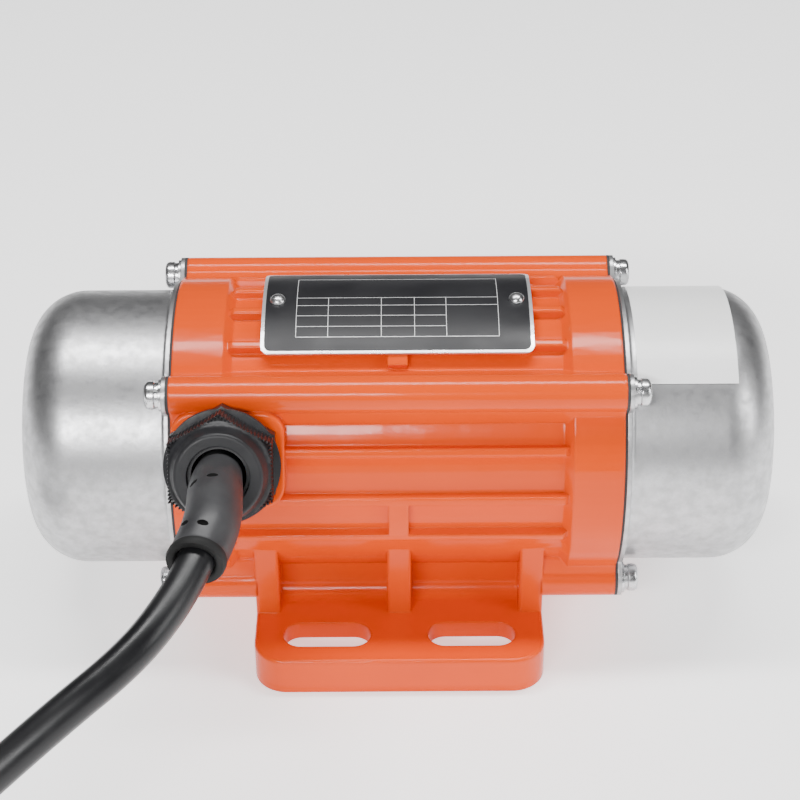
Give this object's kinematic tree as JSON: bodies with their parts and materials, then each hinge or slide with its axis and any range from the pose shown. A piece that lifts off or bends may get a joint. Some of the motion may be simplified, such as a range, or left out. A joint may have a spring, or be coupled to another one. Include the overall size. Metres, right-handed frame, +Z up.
{
  "type": "vibration motor",
  "caption": "Foot-mounted vibration motor with a finned painted housing, steel end caps over eccentric weights, slotted feet, a nameplate and a cable gland with its lead.",
  "frame": {"origin": "on the mounting plane, under the middle of the housing", "axes": "+X along the shaft, +Z up from the feet, the gland on the -Y side"},
  "size_m": [0.3584, 0.2416, 0.0997],
  "materials": {
    "orange_paint": "gloss",
    "cap_steel": "satin",
    "screw_steel": "polished",
    "gasket_rubber": "matte",
    "cast_aluminium": "as cast",
    "bearing_steel": "ground",
    "cage_brass": "satin",
    "lamination_steel": "varnished",
    "winding_copper": "varnished",
    "turned_steel": "turned",
    "weight_steel": "as cut",
    "plate_black": "anodised",
    "label_paper": "satin",
    "gland_plastic": "moulded",
    "boot_rubber": "matte",
    "cable_jacket": "matte",
    "core_insulation": "gloss",
    "ferrule_tin": "tinned",
    "tie_strap": "woven"
  },
  "bodies": {
    "root": {"housing": "orange_paint", "left_cap": "cap_steel", "right_cap": "cap_steel", "left_cap_screws": "screw_steel", "left_spring_washers": "screw_steel", "left_flat_washers": "screw_steel", "right_cap_screws": "screw_steel", "right_spring_washers": "screw_steel", "right_flat_washers": "screw_steel", "nameplate_rivets": "screw_steel", "left_cap_gasket": "gasket_rubber", "right_cap_gasket": "gasket_rubber", "gland_seal": "gasket_rubber", "gland_grommet": "gasket_rubber", "left_end_shield": "cast_aluminium", "right_end_shield": "cast_aluminium", "left_bearing_outer_ring": "bearing_steel", "right_bearing_outer_ring": "bearing_steel", "stator_core": "lamination_steel", "stator_winding": "winding_copper", "wave_washer": "turned_steel", "nameplate": "plate_black", "cap_label": "label_paper", "gland_body": "gland_plastic", "gland_cap_nut": "gland_plastic", "cable_boot": "boot_rubber", "cable_inner": "cable_jacket", "cable_lead": "cable_jacket", "cable_coil": "cable_jacket", "cable_cores": "core_insulation", "lead_wires": "core_insulation", "core_ferrules": "ferrule_tin", "cable_tie": "tie_strap"},
    "rotor": {"shaft": "turned_steel", "rotor_core": "lamination_steel", "rotor_cage": "cast_aluminium", "left_bearing_inner_ring": "bearing_steel", "left_fixed_weight": "weight_steel", "left_weight_key": "turned_steel", "left_inner_sleeve": "turned_steel", "left_weight_spacer": "turned_steel", "left_end_washer": "turned_steel", "left_shaft_nut": "turned_steel", "right_bearing_inner_ring": "bearing_steel", "right_fixed_weight": "weight_steel", "right_weight_key": "turned_steel", "right_inner_sleeve": "turned_steel", "right_weight_spacer": "turned_steel", "right_end_washer": "turned_steel", "right_shaft_nut": "turned_steel"},
    "left_adjuster": {"left_adjustable_weight": "weight_steel", "left_weight_set_screw": "turned_steel"},
    "left_ball_set": {"left_bearing_balls": "bearing_steel", "left_bearing_cage": "cage_brass"},
    "right_adjuster": {"right_adjustable_weight": "weight_steel", "right_weight_set_screw": "turned_steel"},
    "right_ball_set": {"right_bearing_balls": "bearing_steel", "right_bearing_cage": "cage_brass"}
  },
  "joints": [
    {"name": "rotor_spin", "type": "hinge", "parent": "root", "child": "rotor", "pos_m": [0, 0, 0.053], "axis": [1, 0, 0], "continuous": true},
    {"name": "left_weight_setting", "type": "hinge", "parent": "rotor", "child": "left_adjuster", "pos_m": [0, 0, 0.053], "axis": [1, 0, 0], "range_deg": [0, 180]},
    {"name": "right_weight_setting", "type": "hinge", "parent": "rotor", "child": "right_adjuster", "pos_m": [0, 0, 0.053], "axis": [1, 0, 0], "range_deg": [0, 180]},
    {"name": "left_ball_orbit", "type": "hinge", "parent": "root", "child": "left_ball_set", "pos_m": [0, 0, 0.053], "axis": [1, 0, 0], "continuous": true},
    {"name": "right_ball_orbit", "type": "hinge", "parent": "root", "child": "right_ball_set", "pos_m": [0, 0, 0.053], "axis": [1, 0, 0], "continuous": true}
  ],
  "couplings": [
    {"joint": "left_ball_orbit", "follows": "rotor_spin", "ratio": 0.382},
    {"joint": "right_ball_orbit", "follows": "rotor_spin", "ratio": 0.382}
  ]
}
